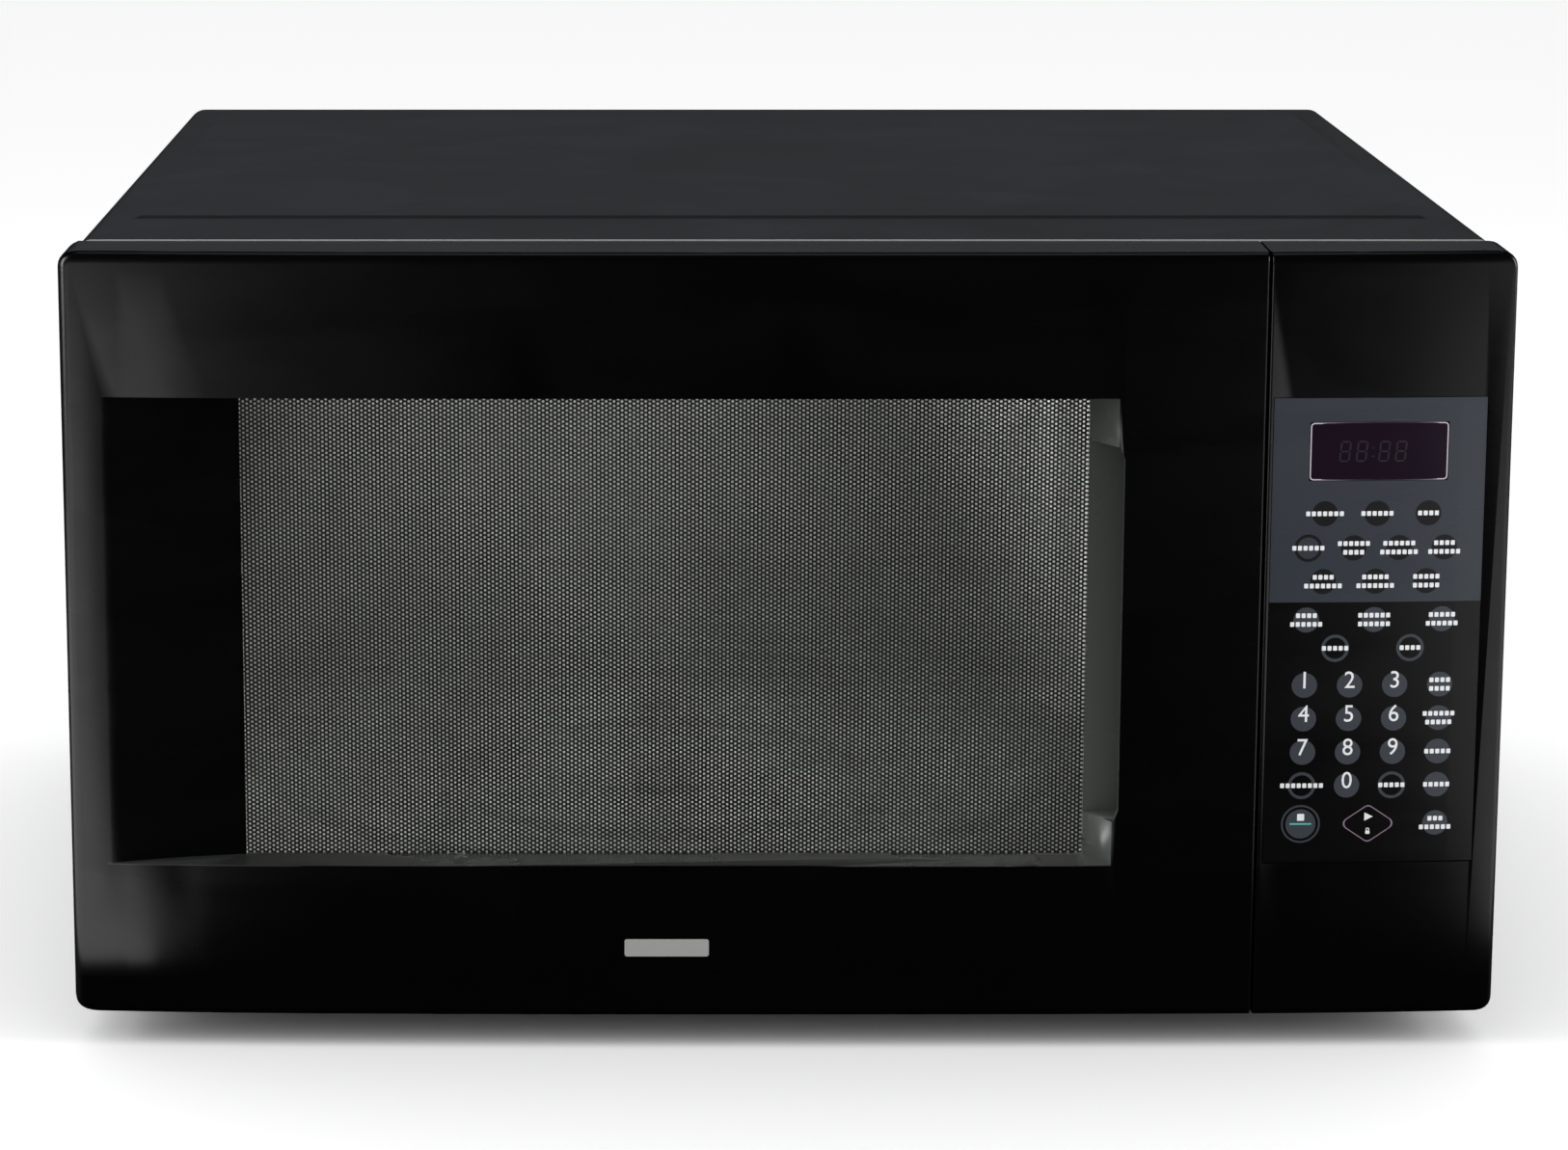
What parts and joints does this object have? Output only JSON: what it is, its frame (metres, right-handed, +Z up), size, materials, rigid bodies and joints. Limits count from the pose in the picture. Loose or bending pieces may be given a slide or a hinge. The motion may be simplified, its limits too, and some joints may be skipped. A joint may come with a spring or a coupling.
{
  "type": "microwave oven",
  "caption": "Large countertop microwave oven with a side-hinged door, a turntable inside, and a control panel at the right.",
  "frame": {"origin": "on the surface the oven stands on, under the middle of its bounding box", "axes": "+Z up, front towards -Y, +X to the right seen from the front"},
  "size_m": [0.606, 0.5, 0.345],
  "materials": {
    "fascia_plastic": "gloss moulded",
    "panel_plastic": "gloss moulded",
    "cabinet_paint": "satin powder coat",
    "zinc_steel": "zinc plated",
    "cavity_enamel": "satin enamel",
    "mica": "matte mineral sheet",
    "magnetron_metal": "plated",
    "core_steel": "varnished laminations",
    "copper_winding": "enamelled wire",
    "aluminium_can": "drawn",
    "black_plastic": "matte",
    "grey_plastic": "matte",
    "white_plastic": "matte",
    "clear_glass": "clear",
    "window_plastic": "clear, faint smoke tint",
    "screen_metal": "black, perforated",
    "circuit_board": "solder mask",
    "overlay_film": "printed satin film",
    "display_plastic": "dark tinted window",
    "badge_metal": "satin",
    "rubber": "moulded",
    "spring_steel": "drawn wire"
  },
  "bodies": {
    "cabinet": {"outer_cabinet": "cabinet_paint", "base_plate": "zinc_steel", "rear_panel": "cabinet_paint", "front_plate": "zinc_steel", "cavity": "cavity_enamel", "waveguide": "zinc_steel", "waveguide_cover": "mica", "magnetron": "magnetron_metal", "transformer_core": "core_steel", "primary_winding": "copper_winding", "secondary_winding": "copper_winding", "hv_capacitor": "aluminium_can", "capacitor_clamp": "zinc_steel", "hv_diode": "black_plastic", "fan_bracket": "grey_plastic", "fan_motor": "core_steel", "air_duct": "grey_plastic", "lamp_socket": "white_plastic", "lamp_bulb": "clear_glass", "filter_board": "circuit_board", "fuse": "clear_glass", "thermal_cutout": "black_plastic", "humidity_sensor": "white_plastic", "turntable_motor": "zinc_steel", "latch_board": "white_plastic", "primary_switch": "grey_plastic", "secondary_switch": "grey_plastic", "monitor_switch": "grey_plastic", "control_panel_frame": "panel_plastic", "keypad_overlay": "overlay_film", "display_lens": "display_plastic", "control_board": "circuit_board", "display_module": "black_plastic", "control_transformer": "core_steel", "upper_hinge": "zinc_steel", "lower_hinge": "zinc_steel", "cord_gland": "black_plastic", "foot_1": "rubber", "foot_2": "rubber", "foot_3": "rubber", "foot_4": "rubber"},
    "door": {"door_frame": "fascia_plastic", "door_window": "window_plastic", "door_screen": "screen_metal", "door_choke_frame": "zinc_steel", "inner_window": "clear_glass", "choke_cover": "black_plastic", "badge": "badge_metal", "latch_spring": "spring_steel"},
    "latch": {"latch_hooks": "white_plastic"},
    "primary_plunger": {"primary_plunger": "white_plastic"},
    "secondary_plunger": {"secondary_plunger": "white_plastic"},
    "monitor_plunger": {"monitor_plunger": "white_plastic"},
    "coupler": {"turntable_coupler": "white_plastic"},
    "tray": {"glass_tray": "clear_glass"},
    "roller_ring": {"roller_ring": "white_plastic"},
    "roller_1": {"roller_1": "white_plastic"},
    "roller_2": {"roller_2": "white_plastic"},
    "roller_3": {"roller_3": "white_plastic"},
    "fan": {"fan_blade": "white_plastic"}
  },
  "joints": [
    {"name": "door_swing", "type": "hinge", "parent": "cabinet", "child": "door", "pos_m": [-0.2975, -0.2213, 0.17], "axis": [0, 0, -1], "range_deg": [0, 110]},
    {"name": "latch_slide", "type": "slide", "parent": "door", "child": "latch", "axis": [0, 0, 1], "range_m": [0, 0.004], "stiffness_N_per_m": 200, "springref_m": -0.004, "deforming": ["latch_spring"]},
    {"name": "primary_plunger_slide", "type": "slide", "parent": "cabinet", "child": "primary_plunger", "axis": [0, 1, 0], "range_m": [0, 0.0015], "stiffness_N_per_m": 100, "springref_m": -0.002},
    {"name": "secondary_plunger_slide", "type": "slide", "parent": "cabinet", "child": "secondary_plunger", "axis": [0, 1, 0], "range_m": [0, 0.0015], "stiffness_N_per_m": 100, "springref_m": -0.002},
    {"name": "monitor_plunger_slide", "type": "slide", "parent": "cabinet", "child": "monitor_plunger", "axis": [1, 0, 0], "range_m": [0, 0.0015], "stiffness_N_per_m": 100, "springref_m": -0.002},
    {"name": "turntable_spin", "type": "hinge", "parent": "cabinet", "child": "coupler", "pos_m": [-0.0518, 0.005, 0.05], "axis": [0, 0, 1], "continuous": true},
    {"name": "tray_lift", "type": "slide", "parent": "coupler", "child": "tray", "axis": [0, 0, 1], "range_m": [0, 0.06]},
    {"name": "roller_ring_spin", "type": "hinge", "parent": "cabinet", "child": "roller_ring", "pos_m": [-0.0518, 0.005, 0.04865], "axis": [0, 0, 1], "continuous": true},
    {"name": "roller_1_spin", "type": "hinge", "parent": "roller_ring", "child": "roller_1", "pos_m": [-0.0518, 0.118, 0.04865], "axis": [0, 1, 0], "continuous": true},
    {"name": "roller_2_spin", "type": "hinge", "parent": "roller_ring", "child": "roller_2", "pos_m": [-0.14966, -0.0515, 0.04865], "axis": [-0.866, -0.5, 0], "continuous": true},
    {"name": "roller_3_spin", "type": "hinge", "parent": "roller_ring", "child": "roller_3", "pos_m": [0.04606, -0.0515, 0.04865], "axis": [0.866, -0.5, 0], "continuous": true},
    {"name": "fan_spin", "type": "hinge", "parent": "cabinet", "child": "fan", "pos_m": [0.238, 0.223, 0.24], "axis": [0, -1, 0], "continuous": true}
  ],
  "couplings": [
    {"joint": "roller_ring_spin", "follows": "turntable_spin", "ratio": 0.5},
    {"joint": "roller_1_spin", "follows": "turntable_spin", "ratio": -6.7665},
    {"joint": "roller_2_spin", "follows": "turntable_spin", "ratio": -6.7665},
    {"joint": "roller_3_spin", "follows": "turntable_spin", "ratio": -6.7665}
  ]
}
